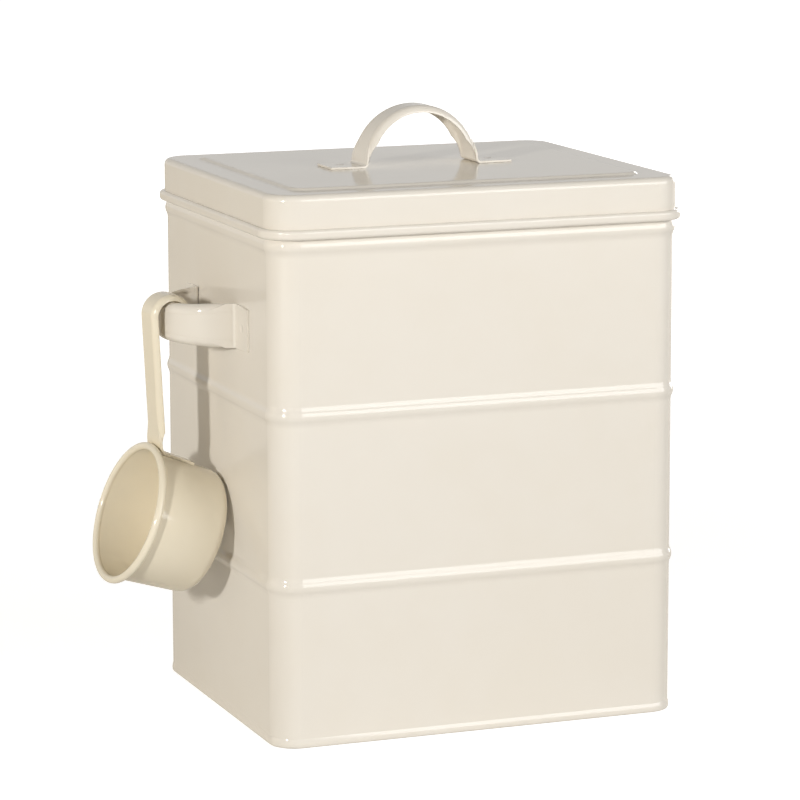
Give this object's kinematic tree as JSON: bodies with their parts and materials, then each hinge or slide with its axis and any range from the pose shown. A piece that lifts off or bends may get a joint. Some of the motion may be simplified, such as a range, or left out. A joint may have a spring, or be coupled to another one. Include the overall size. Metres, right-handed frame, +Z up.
{
  "type": "laundry powder canister",
  "caption": "Rounded rectangular sheet-steel canister with swaged beads, a lift-off lid with an arched strap handle, and a round scoop hooked over a strap bracket on its side.",
  "frame": {"origin": "middle of the flat standing ring, at the height of the table", "axes": "+X to the right seen from the front, +Y to the back, +Z up; the front faces -Y and the scoop hangs on the -X side"},
  "size_m": [0.2357, 0.1586, 0.2565],
  "materials": {
    "body_enamel": "gloss cream enamel",
    "lid_enamel": "gloss cream enamel",
    "scoop_enamel": "gloss cream enamel"
  },
  "bodies": {
    "canister": {"body_wall": "body_enamel", "base_panel": "body_enamel", "scoop_bracket": "body_enamel"},
    "lid": {"lid_shell": "lid_enamel", "lid_handle": "lid_enamel"},
    "scoop": {"scoop_cup": "scoop_enamel", "scoop_handle": "scoop_enamel"}
  },
  "joints": [
    {"name": "lid_lift", "type": "slide", "parent": "canister", "child": "lid", "axis": [0, 0, 1], "range_m": [0, 0.15]},
    {"name": "scoop_lift", "type": "slide", "parent": "canister", "child": "scoop", "axis": [0, 0, 1], "range_m": [0, 0.022]}
  ]
}
